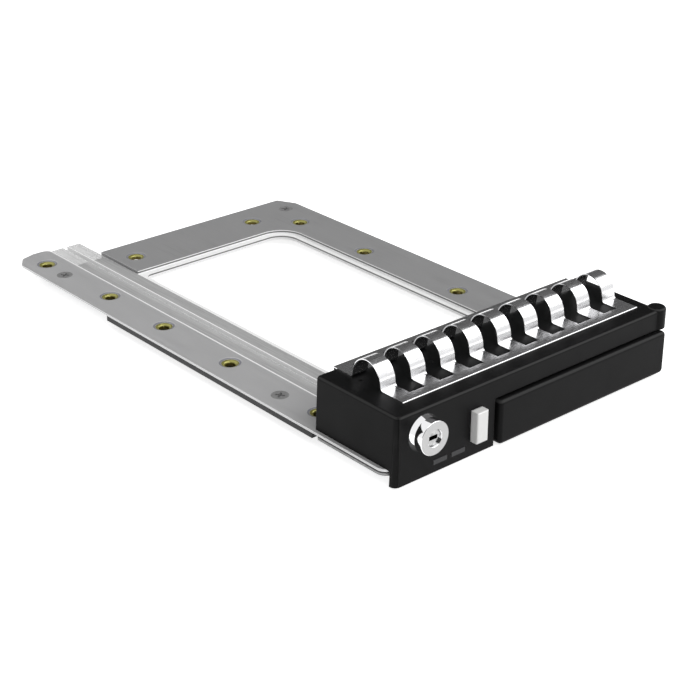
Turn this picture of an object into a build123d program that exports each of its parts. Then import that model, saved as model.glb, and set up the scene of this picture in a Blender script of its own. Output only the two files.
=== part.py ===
from build123d import *
import math
import os

# Hot swap drive caddy. Lengths are in mm.
# The pieces are drawn from the tray: x from its centre line, y backwards from the bezel's face,
# z from the top of its sheet. save() moves each one so that the origin is under the middle.

# Clearances
CLEARANCE = 0.3  # between pieces that pass each other
RUNNING_FIT = 0.05  # radial, of a turning pin or plug
SHEET = 0.8  # thickness of both steel sheets

# Drive holes: the columns of a drive set the tray's width
COLUMN_SPACING = 95.25
PAIR_SPACING = 44.45
LEFT_MARGIN = 9.15
RIGHT_MARGIN = 11.6
TRAY_HALF = (COLUMN_SPACING + LEFT_MARGIN + RIGHT_MARGIN) / 2
LEFT_COLUMN_X = LEFT_MARGIN - TRAY_HALF
RIGHT_COLUMN_X = TRAY_HALF - RIGHT_MARGIN

# Lengths of tray and bezel
BEZEL_DEPTH = 35.0
LEFT_STRIP_REAR = 207.4
BACK_STRIP_REAR = LEFT_STRIP_REAR - 14.6
TRAY_FRONT = 3.0
TRAY_FRONT_CORNER = 3.5
REAR_LEFT_CUT = 3.2
REAR_LEFT_CORNER = 6.4
REAR_RIGHT_CUT = 3.8
REAR_RIGHT_CORNER = 7.4

# Channel, ledge and window pressed in the tray
LEFT_STRIP_WIDTH = 15.2
CHANNEL_WIDTH = 13.7
CHANNEL_DEPTH = 2.4
CHANNEL_LEFT = LEFT_STRIP_WIDTH - TRAY_HALF
CHANNEL_RIGHT = CHANNEL_LEFT + CHANNEL_WIDTH
RIGHT_STRIP_WIDTH = 19.0
BACK_STRIP_WIDTH = 24.1
LEDGE_DEPTH = 1.2
LEDGE_FRONT = 53.2
LEDGE_REAR = BACK_STRIP_REAR - BACK_STRIP_WIDTH
LEDGE_RIGHT = TRAY_HALF - RIGHT_STRIP_WIDTH
LEDGE_CORNER = 10.0
LEDGE_WIDTH = 2.5
WINDOW_LEFT = CHANNEL_RIGHT + 1.5
WINDOW_RIGHT = LEDGE_RIGHT - LEDGE_WIDTH
WINDOW_FRONT = LEDGE_FRONT + LEDGE_WIDTH
WINDOW_REAR = LEDGE_REAR - LEDGE_WIDTH
WINDOW_CORNER = LEDGE_CORNER - LEDGE_WIDTH
LIP_DEPTH = LEDGE_DEPTH + 1.6

# Drive holes and their brass bushes
FIRST_HOLE_Y = BEZEL_DEPTH + 7.95
BACK_ROW_Y = BACK_STRIP_REAR - 11.8
DRIVE_HOLES = [
    (LEFT_COLUMN_X, FIRST_HOLE_Y),
    (LEFT_COLUMN_X, FIRST_HOLE_Y + PAIR_SPACING),
    (LEFT_COLUMN_X, LEDGE_REAR - 44.5),
    (LEFT_COLUMN_X, LEDGE_REAR - 11.9),
    (LEFT_COLUMN_X - 1.45, LEFT_STRIP_REAR - 11.4),
    (CHANNEL_RIGHT + 7.5, BACK_ROW_Y),
    (LEDGE_RIGHT - 6.6, BACK_ROW_Y),
    (RIGHT_COLUMN_X, LEDGE_REAR - 0.1),
    (RIGHT_COLUMN_X - 0.7, LEDGE_REAR - 38.7),
    (RIGHT_COLUMN_X, LEDGE_REAR - 87.6),
]
BUSH_RADIUS = 2.9
BUSH_COLLAR = 3.4
BUSH_COLLAR_HEIGHT = 1.2
BUSH_BORE = 1.75
FUNNEL_RADIUS = 2.75
FUNNEL_DEPTH = 0.7
DISH_RADIUS = 3.9
DISH_DEPTH = 0.3

# Runners under the tray
RUNNER_HEIGHT = 4.8
RUNNER_WIDTH = 9.9
RUNNER_BEVEL = 3.0
RUNNER_BEVEL_HEIGHT = 2.2
RUNNER_FRONT = BEZEL_DEPTH + CLEARANCE
LEFT_RUNNER_REAR = LEFT_STRIP_REAR - REAR_LEFT_CORNER
RIGHT_RUNNER_REAR = BACK_STRIP_REAR - 5.8
FLANGE_WIDTH = 3.9
FLANGE_THICK = 1.8
FLANGE_REAR = 148.0
RUNNER_BOTTOM = -SHEET - RUNNER_HEIGHT
RUNNER_OUTSIDE = TRAY_HALF - FLANGE_WIDTH
RUNNER_INSIDE = RUNNER_OUTSIDE - RUNNER_WIDTH
ACCESS_RADIUS = BUSH_COLLAR + 0.1
RUNNER_SCREW_X = RUNNER_OUTSIDE - 3.2
RUNNER_SCREW_FRONT = RUNNER_FRONT + 24.0
RUNNER_SCREW_REAR = BACK_STRIP_REAR - 9.7
FLAT_HEAD_RADIUS = 2.9
FLAT_SHANK_RADIUS = 1.45
FLAT_SCREW_LENGTH = 5.0
CROSS_LENGTH = 3.2
CROSS_WIDTH = 0.7
CROSS_DEPTH = 0.9
CROSS_TURN = 35.0

# Base plate under the bezel
BASE_GAP = 0.5
BASE_REAR = BEZEL_DEPTH - 1.0
BASE_TOP = -SHEET - BASE_GAP
BASE_BOTTOM = BASE_TOP - SHEET
CHANNEL_BOTTOM = -CHANNEL_DEPTH - SHEET
PAD_RADIUS = 4.0
PAD_POCKET = 3.2

# Light pipes
PIPE_WIDTH = 5.4
PIPE_HEIGHT = 1.5
PIPE_PROUD = 0.1
LEFT_PIPE_X = CHANNEL_LEFT + 0.8 + PIPE_WIDTH / 2
RIGHT_PIPE_X = CHANNEL_RIGHT - 0.3 - PIPE_WIDTH / 2
WINDOW_GAP = 0.1

# Bezel
BEZEL_HALF = TRAY_HALF - 1.0
BEZEL_TOP = 17.4
SKIRT_DROP = 4.9
FACE_WALL = 2.4
SIDE_WALL = 2.0
ROOF = 1.6
EDGE_ROUND = 1.0
CORNER_ROUND = 2.0
PANEL_WIDTH = 39.5
RECESS_LEFT = PANEL_WIDTH - BEZEL_HALF
RECESS_DEPTH = 8.0
RECESS_WALL = 2.0
PIVOT_X = BEZEL_HALF + 0.2
PIVOT_Y = 2.2
SCOOP_RADIUS = 6.5
KNUCKLE_RADIUS = 3.1
KNUCKLE_TOP = BEZEL_TOP + 0.5
KNUCKLE_ROUND = 1.0
KNUCKLE_EDGE = PIVOT_X + KNUCKLE_RADIUS
SCREW_BOSS = 3.0
SCREW_INSET = 6.5
BEZEL_SCREWS = [
    (SCREW_INSET - BEZEL_HALF, BEZEL_DEPTH - SCREW_INSET + 0.5),
    (BEZEL_HALF - SCREW_INSET, BEZEL_DEPTH - SCREW_INSET + 0.5),
    (RECESS_LEFT + 7.5, RECESS_DEPTH + 6.0),
    (BEZEL_HALF - 17.0, RECESS_DEPTH + 6.0),
]
PAN_HEAD_RADIUS = 2.75
PAN_HEAD_HEIGHT = 1.6
PAN_SHANK_RADIUS = 1.45
PAN_HOLE_RADIUS = 1.7
PAN_LENGTH = 10.0

# Contact strip
STRIP_THICK = 0.3
STRIP_TOP = BEZEL_TOP + STRIP_THICK
STRIP_LEFT = 8.35 - BEZEL_HALF
STRIP_RIGHT = BEZEL_HALF - 4.81
STRIP_FRONT = 6.0
STRIP_REAR = BEZEL_DEPTH + 1.5
FINGERS = 9
FINGER_WIDTH = 5.8
FINGER_PITCH = (STRIP_RIGHT - STRIP_LEFT - FINGER_WIDTH) / (FINGERS - 1)
SLOT_REAR = STRIP_REAR - 7.5
CREST_Y = SLOT_REAR - 7.25
SLOT_FRONT = CREST_Y - 12.25
CREST_RISE = 7.6
CREST_RADIUS = 6.0
LEG_LEAN = 14.0
FOOT_RADIUS = 0.9
FRONT_LIP = 1.3
REAR_LIP = 2.6
RELIEF_RADIUS = 0.45
RELIEF_Y = STRIP_REAR - 3.0
PIP_RADIUS = 0.5
PIP_HEIGHT = 0.3
PIPS = [(STRIP_LEFT + 0.65, CREST_Y + 3.25), (STRIP_LEFT + 24.25, CREST_Y - 1.75)]

# Handle
HANDLE_GAP = 1.1
HANDLE_END = 1.7
HANDLE_LEFT = RECESS_LEFT + HANDLE_GAP
HANDLE_RIGHT = PIVOT_X + HANDLE_END
HANDLE_PROUD = 1.4
HANDLE_DEPTH = 7.9
HANDLE_REAR = HANDLE_DEPTH - HANDLE_PROUD
HANDLE_HEIGHT = 14.8
HANDLE_BOTTOM = -SKIRT_DROP
HANDLE_TOP = HANDLE_BOTTOM + HANDLE_HEIGHT
RECESS_TOP = HANDLE_TOP + 0.9
HANDLE_SKIN = 1.5
HANDLE_WALL = 1.6
HANDLE_ROUND = 1.3
HANDLE_CORNER = 1.6
HANDLE_RIB = 1.2
RIBS = 4
BARREL_RADIUS = HANDLE_END
EAR_SLOT_GAP = 0.4
EAR_RADIUS = 1.7
PIN_RADIUS = 0.9
PIN_BOTTOM = HANDLE_BOTTOM + 0.2
PIN_TOP = KNUCKLE_TOP - 2.0
LEVER_WIRE = 0.2
LEVER_COIL = 1.3
LEVER_PITCH = 0.45
LEVER_LEG = 8.0
LEVER_TURN = 30.0
SPRING_ROOM = 2.4
BARREL_TOP = HANDLE_TOP - HANDLE_WALL - SPRING_ROOM

# Button and latch
BUTTON_WIDTH = 4.4
BUTTON_HEIGHT = 10.1
BUTTON_PROUD = 2.6
BUTTON_ROUND = 0.4
BUTTON_TRAVEL = 2.0
BUTTON_RIGHT = RECESS_LEFT - 5.1
BUTTON_LEFT = BUTTON_RIGHT - BUTTON_WIDTH
BUTTON_BOTTOM = -0.15
BUTTON_TOP = BUTTON_BOTTOM + BUTTON_HEIGHT
STOP_THICK = 1.2
STOP_LEFT = BUTTON_LEFT - 1.6
STOP_BOTTOM = 0.5
STOP_TOP = BUTTON_TOP + 0.85
STOP_FRONT = FACE_WALL + CLEARANCE
STOP_REAR = STOP_FRONT + STOP_THICK
WEDGE_BOTTOM = 1.0
WEDGE_TOP = 5.0
WEDGE_TIP = 1.1
WEDGE_SLANT = STOP_REAR + WEDGE_TIP - BUTTON_LEFT
BLOCK_SLANT = WEDGE_SLANT + CLEARANCE * math.sqrt(2)
SLIDER_GAP = 0.4
SLIDER_FRONT = STOP_REAR + BUTTON_TRAVEL + SLIDER_GAP
SLIDER_REAR = SLIDER_FRONT + 5.2
SLIDER_FLOOR = SLIDER_GAP
SLIDER_BOTTOM = WEDGE_TOP + SLIDER_GAP
SLIDER_TOP = SLIDER_BOTTOM + 3.8
SLIDER_BLOCK_LEFT = BUTTON_LEFT - 3.5
SLIDER_BLOCK_RIGHT = BUTTON_RIGHT - 0.2
ARM_LEFT = BUTTON_RIGHT + BUTTON_TRAVEL + SLIDER_GAP
ARM_FRONT = FACE_WALL + 1.2
ARM_REAR = ARM_FRONT + 4.0
ARM_TOP = SLIDER_BOTTOM + 2.5
ARM_RAMP = 1.6
SPRING_LENGTH = 5.0
SPRING_POST = 1.5
SPRING_POST_RIGHT = SLIDER_BLOCK_LEFT - SPRING_LENGTH
SPRING_AXIS_Y = SLIDER_FRONT + 2.7
SPRING_AXIS_Z = 2.7
SPRING_RADIUS = 1.6
SPRING_WIRE = 0.175
SPRING_TURNS = 5
GUIDE_THICK = 1.5

# Key lock
LOCK_X = 10.8 - BEZEL_HALF
LOCK_Z = 9.8
LOCK_PROUD = 4.8
LOCK_FACE_RADIUS = 5.15
LOCK_FACE_EDGE = 0.5
LOCK_FLANGE_RADIUS = 5.9
LOCK_FLANGE = 1.2
LOCK_THREAD_RADIUS = 4.0
PLUG_HEAD_RADIUS = 2.6
PLUG_RADIUS = 2.2
PLUG_RECESS = 0.8
PLUG_HEAD = 1.7
PLUG_TAIL = 3.0
KEY_WIDTH = 3.2
KEY_HEIGHT = 1.3
KEY_DEPTH = 5.0
WASHER_THICK = 0.8
WASHER_RADIUS = 5.6
WASHER_TEETH = 12
NUT_FLATS = 11.0
NUT_THICK = 2.8
LOCK_REAR = FACE_WALL + WASHER_THICK + NUT_THICK + 2.5
TONGUE_THICK = 1.2
TONGUE_HUB = 3.2
TONGUE_GAP = 0.4
TONGUE_WIDTH = 5.0
TONGUE_FRONT = LOCK_REAR + CLEARANCE
TONGUE_REAR = TONGUE_FRONT + TONGUE_THICK
TONGUE_SCREW_HEAD = 2.4
TONGUE_SCREW_SHANK = 1.0
TONGUE_SCREW_HEIGHT = 1.4
TONGUE_REACH = 8.5
SLIDER_LEFT = LOCK_X + TONGUE_REACH + TONGUE_GAP + BUTTON_TRAVEL

SHIFT = (
    (TRAY_HALF - KNUCKLE_EDGE) / 2,
    (LOCK_PROUD - LEFT_STRIP_REAR) / 2,
    -RUNNER_BOTTOM,
)


def block(x0, x1, y0, y1, z0, z1):
    """A block between two opposite corners."""
    return Pos((x0 + x1) / 2, (y0 + y1) / 2, (z0 + z1) / 2) * Box(x1 - x0, y1 - y0, z1 - z0)


def post(x, y, z0, z1, radius):
    """An upright cylinder between two heights."""
    return Pos(x, y, (z0 + z1) / 2) * Cylinder(radius, z1 - z0)


def funnel(x, y, z0, z1, low_radius, high_radius):
    """An upright cone between two heights."""
    return Pos(x, y, (z0 + z1) / 2) * Cone(low_radius, high_radius, z1 - z0)


def rod(y0, y1, radius):
    """A cylinder on the lock's axis, from one depth to another."""
    return Pos(LOCK_X, (y0 + y1) / 2, LOCK_Z) * Rot(90, 0, 0) * Cylinder(radius, y1 - y0)


def slab(corners, z0, z1):
    """A flat shape from (x, y, corner radius) points, between two heights."""
    face = make_face(Polyline(*[(x, y) for x, y, _ in corners], close=True))
    for x, y, radius in corners:
        if radius > 0:
            corner = face.vertices().sort_by_distance((x, y, 0))[0]
            face = fillet(corner, radius)
    return Pos(0, 0, z0) * extrude(face, amount=z1 - z0, dir=(0, 0, 1))


def cross_recess(x, y, z, depth):
    """The cut of a cross head driver, downwards from z."""
    long_way = block(-CROSS_LENGTH / 2, CROSS_LENGTH / 2, -CROSS_WIDTH / 2, CROSS_WIDTH / 2, z - depth, z)
    return Pos(x, y, 0) * Rot(0, 0, CROSS_TURN) * (long_way + Rot(0, 0, 90) * long_way)


def coil(path, wire):
    """Round wire along a helix."""
    return sweep(Plane(origin=path @ 0, z_dir=path % 0) * Circle(wire), path=path)


def wire_leg(start, direction, length, wire):
    """A straight end of a spring."""
    return extrude(Plane(origin=start, z_dir=direction) * Circle(wire), amount=length)


def flat_screw_places():
    """Where the runner screws stand."""
    return [(x, y) for x in (-RUNNER_SCREW_X, RUNNER_SCREW_X) for y in (RUNNER_SCREW_FRONT, RUNNER_SCREW_REAR)]


def flat_screw_body(x, y):
    """One countersunk screw without its cross recess."""
    head_height = FLAT_HEAD_RADIUS - FLAT_SHANK_RADIUS
    head = funnel(x, y, -head_height, 0, FLAT_SHANK_RADIUS, FLAT_HEAD_RADIUS)
    return head + post(x, y, -FLAT_SCREW_LENGTH, -head_height, FLAT_SHANK_RADIUS)


def front_outline(front_corner):
    """The front edge that tray and base plate share, from left to right."""
    step_x = RECESS_LEFT - BASE_GAP
    return [
        (-TRAY_HALF, TRAY_FRONT, front_corner),
        (step_x, TRAY_FRONT, 0),
        (step_x, RECESS_DEPTH, 0),
        (TRAY_HALF, RECESS_DEPTH, 0),
    ]


def window_shape(grow, z0, z1):
    """The big window, grown by the given amount."""
    left, right = WINDOW_LEFT - grow, WINDOW_RIGHT + grow
    front, rear = WINDOW_FRONT - grow, WINDOW_REAR + grow
    right_round = WINDOW_CORNER + grow
    left_round = WINDOW_CORNER / 3 + grow
    corners = [
        (left, front, left_round),
        (right, front, right_round),
        (right, rear, right_round),
        (left, rear, left_round),
    ]
    return slab(corners, z0, z1)


def ledge_shape(grow, left, z0, z1):
    """The sunken field round the window, grown by the given amount."""
    right = LEDGE_RIGHT + grow
    corners = [
        (left, LEDGE_FRONT - grow, 0),
        (right, LEDGE_FRONT - grow, LEDGE_CORNER + grow),
        (right, LEDGE_REAR + grow, LEDGE_CORNER + grow),
        (left, LEDGE_REAR + grow, 0),
    ]
    return slab(corners, z0, z1)


def tray_plate():
    """The pressed tray with its channel, ledge and window."""
    edge = front_outline(TRAY_FRONT_CORNER) + [
        (TRAY_HALF, BACK_STRIP_REAR - REAR_RIGHT_CORNER, 2),
        (TRAY_HALF - REAR_RIGHT_CUT, BACK_STRIP_REAR, 1),
        (CHANNEL_LEFT, BACK_STRIP_REAR, 0),
        (CHANNEL_LEFT, LEFT_STRIP_REAR, 3),
        (REAR_LEFT_CUT + 5.3 - TRAY_HALF, LEFT_STRIP_REAR, 0),
        (REAR_LEFT_CUT - TRAY_HALF, LEFT_STRIP_REAR - REAR_LEFT_CUT / 2, 2),
        (-TRAY_HALF, LEFT_STRIP_REAR - REAR_LEFT_CORNER, 3),
    ]
    tray = slab(edge, -SHEET, 0)
    channel_solid = (CHANNEL_LEFT - SHEET, CHANNEL_RIGHT + SHEET, TRAY_FRONT, BACK_STRIP_REAR)
    tray += block(*channel_solid, CHANNEL_BOTTOM, 0)
    tray += ledge_shape(SHEET, CHANNEL_RIGHT + SHEET / 2, -LEDGE_DEPTH - SHEET, 0)
    tray += window_shape(SHEET, -LIP_DEPTH, 0)
    tray -= block(CHANNEL_LEFT, CHANNEL_RIGHT, 0, LEFT_STRIP_REAR, -CHANNEL_DEPTH, 1)
    tray -= ledge_shape(0, CHANNEL_RIGHT - SHEET, -LEDGE_DEPTH, 1)
    tray -= window_shape(0, -LIP_DEPTH - 1, 1)
    tray -= post(PIVOT_X, PIVOT_Y, -SHEET - 1, 1, SCOOP_RADIUS)
    for x, y in DRIVE_HOLES:
        tray -= post(x, y, -SHEET - 1, 1, BUSH_RADIUS)
        tray -= funnel(x, y, -DISH_DEPTH, 0, BUSH_RADIUS, DISH_RADIUS)
    for x, y in flat_screw_places():
        tray -= flat_screw_body(x, y)
    for x, y in BEZEL_SCREWS:
        tray -= post(x, y, -SHEET - 1, 1, PAN_HOLE_RADIUS)
    return tray


def drive_hole_bushes():
    """Brass funnels that line the drive holes."""
    bushes = []
    for x, y in DRIVE_HOLES:
        bottom = -SHEET - BUSH_COLLAR_HEIGHT
        bush = post(x, y, bottom, -DISH_DEPTH, BUSH_RADIUS)
        bush += post(x, y, bottom, -SHEET, BUSH_COLLAR)
        bush -= post(x, y, bottom - 1, 1, BUSH_BORE)
        bush -= funnel(x, y, -DISH_DEPTH - FUNNEL_DEPTH, -DISH_DEPTH, BUSH_BORE, FUNNEL_RADIUS)
        bushes.append(bush)
    return bushes


def runner(side, rear):
    """One plastic runner, on the left for side -1 and on the right for side 1."""
    section = [
        (RUNNER_INSIDE, -SHEET),
        (RUNNER_OUTSIDE, -SHEET),
        (RUNNER_OUTSIDE, RUNNER_BOTTOM + RUNNER_BEVEL_HEIGHT),
        (RUNNER_OUTSIDE - RUNNER_BEVEL, RUNNER_BOTTOM),
        (RUNNER_INSIDE, RUNNER_BOTTOM),
    ]
    profile = make_face(Polyline(*[(side * x, z) for x, z in section], close=True))
    length = rear - RUNNER_FRONT
    bar = Pos(0, RUNNER_FRONT, 0) * extrude(Plane.XZ * profile, amount=length, dir=(0, 1, 0))
    flange = [
        (side * RUNNER_INSIDE, RUNNER_FRONT, 0),
        (side * TRAY_HALF, RUNNER_FRONT, 0),
        (side * TRAY_HALF, FLANGE_REAR - RUNNER_BEVEL, 0),
        (side * (RUNNER_OUTSIDE - 1), FLANGE_REAR, 0),
        (side * RUNNER_INSIDE, FLANGE_REAR, 0),
    ]
    bar += slab(flange, -SHEET - FLANGE_THICK, -SHEET)
    for x, y in DRIVE_HOLES:
        if side * x > RUNNER_INSIDE:
            bar -= post(x, y, RUNNER_BOTTOM - 1, 1, ACCESS_RADIUS)
    for x, y in flat_screw_places():
        if side * x > 0:
            bar -= flat_screw_body(x, y)
    return bar


def runner_screws():
    """Countersunk screws that hold the runners."""
    screws = []
    for x, y in flat_screw_places():
        screws.append(flat_screw_body(x, y) - cross_recess(x, y, 0, CROSS_DEPTH))
    return screws


def base_plate():
    """The second sheet under the bezel, with the ear that carries the hinge pin."""
    edge = front_outline(TRAY_FRONT_CORNER) + [(TRAY_HALF, BASE_REAR, 2), (-TRAY_HALF, BASE_REAR, 2)]
    plate = slab(edge, BASE_BOTTOM, BASE_TOP)
    outer_left, outer_right = CHANNEL_LEFT - 2 * SHEET, CHANNEL_RIGHT + 2 * SHEET
    plate += block(outer_left, outer_right, TRAY_FRONT, BASE_REAR, CHANNEL_BOTTOM - SHEET, BASE_TOP)
    inner_left, inner_right = CHANNEL_LEFT - SHEET, CHANNEL_RIGHT + SHEET
    plate -= block(inner_left, inner_right, 0, BASE_REAR + 1, CHANNEL_BOTTOM, 1)
    plate -= post(PIVOT_X, PIVOT_Y, BASE_BOTTOM - 1, 1, SCOOP_RADIUS)
    ear = post(PIVOT_X, PIVOT_Y, BASE_BOTTOM, BASE_TOP, EAR_RADIUS)
    web_rear = PIVOT_Y + SCOOP_RADIUS + SHEET
    web_sides = (PIVOT_X - EAR_RADIUS, PIVOT_X + EAR_RADIUS - 2 * SHEET)
    ear += block(*web_sides, PIVOT_Y, web_rear, BASE_BOTTOM, BASE_TOP)
    plate += ear
    plate -= post(PIVOT_X, PIVOT_Y, BASE_BOTTOM - 1, 1, PIN_RADIUS)
    for x, y in BEZEL_SCREWS:
        plate += post(x, y, BASE_BOTTOM, -SHEET, PAD_RADIUS)
        plate -= post(x, y, BASE_BOTTOM, -2 * SHEET, PAD_POCKET)
        plate -= post(x, y, BASE_BOTTOM - 1, 1, PAN_HOLE_RADIUS)
    return plate


def light_pipe(x):
    """One clear bar from the bezel's face to the rear."""
    floor = -CHANNEL_DEPTH
    left, right = x - PIPE_WIDTH / 2, x + PIPE_WIDTH / 2
    return block(left, right, -PIPE_PROUD, LEFT_STRIP_REAR, floor, floor + PIPE_HEIGHT)


def bezel_shell():
    """The outside of the bezel, hollow from below."""
    shell = block(-BEZEL_HALF, BEZEL_HALF, 0, BEZEL_DEPTH, 0, BEZEL_TOP)
    shell = fillet(shell.edges().filter_by(Axis.Z).group_by(Axis.Y)[0], CORNER_ROUND)
    top = shell.faces().sort_by(Axis.Z)[-1]
    rear_edge = top.edges().sort_by(Axis.Y)[-1]
    shell = fillet([edge for edge in top.edges() if edge != rear_edge], EDGE_ROUND)
    inside = BEZEL_HALF - SIDE_WALL
    shell -= block(-inside, inside, FACE_WALL, BEZEL_DEPTH - SIDE_WALL, -1, BEZEL_TOP - ROOF)
    skirt = [
        (-BEZEL_HALF, 0, CORNER_ROUND),
        (RECESS_LEFT, 0, 0),
        (RECESS_LEFT, FACE_WALL, 0),
        (-BEZEL_HALF, FACE_WALL, 0),
    ]
    return shell + slab(skirt, -SKIRT_DROP, 0)


def handle_recess():
    """The space in the bezel that the handle lies in."""
    low = -SKIRT_DROP - 1
    room = block(RECESS_LEFT, KNUCKLE_EDGE, -1, RECESS_DEPTH, low, RECESS_TOP)
    return room + post(PIVOT_X, PIVOT_Y, low, RECESS_TOP, SCOOP_RADIUS)


def recess_housing():
    """The walls round the handle's space."""
    left = RECESS_LEFT - RECESS_WALL
    rear = RECESS_DEPTH + RECESS_WALL
    housing = block(left, BEZEL_HALF, 0, rear, 0, RECESS_TOP + ROOF)
    scoop = post(PIVOT_X, PIVOT_Y, 0, RECESS_TOP + ROOF, SCOOP_RADIUS + RECESS_WALL)
    return housing + (scoop & block(left, BEZEL_HALF, 0, BEZEL_DEPTH, 0, BEZEL_TOP))


def knuckle():
    """The round boss over the hinge."""
    boss = post(PIVOT_X, PIVOT_Y, RECESS_TOP, KNUCKLE_TOP, KNUCKLE_RADIUS)
    return fillet(boss.edges().sort_by(Axis.Z)[-1], KNUCKLE_ROUND)


def latch_guides():
    """Walls inside the bezel that lead the latch slider."""
    roof = BEZEL_TOP - ROOF
    left = SLIDER_LEFT + 1
    right = ARM_LEFT - 1
    wall_front = SLIDER_REAR + CLEARANCE
    rear_wall = block(left, right, wall_front, wall_front + GUIDE_THICK, 0, roof)
    pad_front = SLIDER_FRONT + CLEARANCE / 3
    pad = block(left, right, pad_front, wall_front, SLIDER_TOP + CLEARANCE, roof)
    post_left = SPRING_POST_RIGHT - SPRING_POST
    spring_post = block(post_left, SPRING_POST_RIGHT, SLIDER_FRONT, wall_front + 1, 0, WEDGE_TOP)
    bridge = block(post_left, left + 1, wall_front, wall_front + GUIDE_THICK, 0, WEDGE_TOP)
    return rear_wall + pad + spring_post + bridge


def front_bezel():
    """The black front moulding."""
    bezel = bezel_shell() + recess_housing() + latch_guides()
    for x, y in BEZEL_SCREWS:
        bezel += post(x, y, 0, BEZEL_TOP - ROOF, SCREW_BOSS)
    bezel -= handle_recess()
    bezel += knuckle()
    bezel -= post(PIVOT_X, PIVOT_Y, RECESS_TOP - 1, PIN_TOP, PIN_RADIUS)
    for x, y in BEZEL_SCREWS:
        bezel -= post(x, y, -1, PAN_LENGTH, PAN_SHANK_RADIUS)
    bezel -= rod(-1, FACE_WALL + 1, LOCK_THREAD_RADIUS + WINDOW_GAP)
    gap = CLEARANCE
    button_sides = (BUTTON_LEFT - gap, BUTTON_RIGHT + gap)
    bezel -= block(*button_sides, -1, FACE_WALL, BUTTON_BOTTOM - gap, BUTTON_TOP + gap)
    arm_slot = (RECESS_LEFT - RECESS_WALL - 1, RECESS_LEFT + 1, ARM_FRONT - gap, ARM_REAR + gap)
    bezel -= block(*arm_slot, SLIDER_BOTTOM - gap, ARM_TOP + gap)
    for x in (LEFT_PIPE_X, RIGHT_PIPE_X):
        half = PIPE_WIDTH / 2 + WINDOW_GAP
        floor = -CHANNEL_DEPTH - WINDOW_GAP
        bezel -= block(x - half, x + half, -1, FACE_WALL + 1, floor, floor + PIPE_HEIGHT + 2 * WINDOW_GAP)
    lip_rear = STRIP_FRONT + STRIP_THICK
    lip_slot = (STRIP_LEFT - WINDOW_GAP, STRIP_RIGHT + WINDOW_GAP, STRIP_FRONT, lip_rear)
    bezel -= block(*lip_slot, BEZEL_TOP - FRONT_LIP, BEZEL_TOP + 1)
    rib_rear = STRIP_REAR - STRIP_THICK
    bezel += block(STRIP_LEFT, STRIP_RIGHT, BEZEL_DEPTH - 1, rib_rear, STRIP_TOP - REAR_LIP, BEZEL_TOP)
    for x, y in PIPS:
        bezel += post(x, y, BEZEL_TOP - 1, BEZEL_TOP + PIP_HEIGHT, PIP_RADIUS)
    return bezel


def bezel_screws():
    """Pan head screws from below, through both sheets into the bezel."""
    seat = -2 * SHEET
    screws = []
    for x, y in BEZEL_SCREWS:
        head = post(x, y, seat - PAN_HEAD_HEIGHT, seat, PAN_HEAD_RADIUS)
        head = fillet(head.edges().sort_by(Axis.Z)[0], PAN_HEAD_HEIGHT / 2)
        screw = head + post(x, y, seat, PAN_LENGTH - 1, PAN_SHANK_RADIUS)
        low = seat - PAN_HEAD_HEIGHT
        screws.append(screw - cross_recess(x, y, low + CROSS_DEPTH, CROSS_DEPTH))
    return screws


def arch_face(thin):
    """The area under a finger's arch, on its outside, or thin in from there."""
    lean = math.radians(LEG_LEAN)
    level = STRIP_TOP - thin
    crest = CREST_RADIUS - thin
    foot = FOOT_RADIUS + thin
    half = (CREST_RISE + crest / math.sin(lean) - crest) * math.tan(lean)
    foot_y = half + foot * math.tan((math.pi / 2 - lean) / 2)
    bend = 90 - LEG_LEAN
    left = CenterArc((CREST_Y - foot_y, level + foot), foot, -90, bend)
    top = CenterArc((CREST_Y, level + CREST_RISE - crest), crest, 180 - LEG_LEAN, 2 * LEG_LEAN - 180)
    right = CenterArc((CREST_Y + foot_y, level + foot), foot, 180 + LEG_LEAN, bend)
    base = Polyline(
        right @ 1,
        (SLOT_REAR, level),
        (SLOT_REAR, level - 1),
        (SLOT_FRONT, level - 1),
        (SLOT_FRONT, level),
        left @ 0,
    )
    return make_face([left, Line(left @ 1, top @ 0), top, Line(top @ 1, right @ 0), right, base])


def contact_strip():
    """The stainless strip with its row of arched fingers."""
    outline = [
        (STRIP_LEFT, STRIP_FRONT, 0),
        (STRIP_RIGHT, STRIP_FRONT, 0),
        (STRIP_RIGHT, STRIP_REAR, 0),
        (STRIP_LEFT, STRIP_REAR, 0),
    ]
    strip = slab(outline, BEZEL_TOP, STRIP_TOP)
    strip -= block(STRIP_LEFT - 1, STRIP_RIGHT + 1, SLOT_FRONT, SLOT_REAR, BEZEL_TOP - 1, STRIP_TOP + 1)
    front_lip = (STRIP_LEFT, STRIP_RIGHT, STRIP_FRONT, STRIP_FRONT + STRIP_THICK)
    strip += block(*front_lip, BEZEL_TOP - FRONT_LIP, STRIP_TOP)
    rear_lip = (STRIP_LEFT, STRIP_RIGHT, STRIP_REAR - STRIP_THICK, STRIP_REAR)
    strip += block(*rear_lip, STRIP_TOP - REAR_LIP, STRIP_TOP)
    section = arch_face(0) - arch_face(STRIP_THICK)
    arch = extrude(Plane.YZ * section, amount=FINGER_WIDTH, dir=(1, 0, 0))
    for number in range(FINGERS):
        left = STRIP_LEFT + number * FINGER_PITCH
        strip += Pos(left, 0, 0) * arch
        relief_x = min(left + FINGER_WIDTH, STRIP_RIGHT - 2 * RELIEF_RADIUS)
        strip -= post(relief_x, RELIEF_Y, BEZEL_TOP - 1, STRIP_TOP + 1, RELIEF_RADIUS)
    return strip


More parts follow.
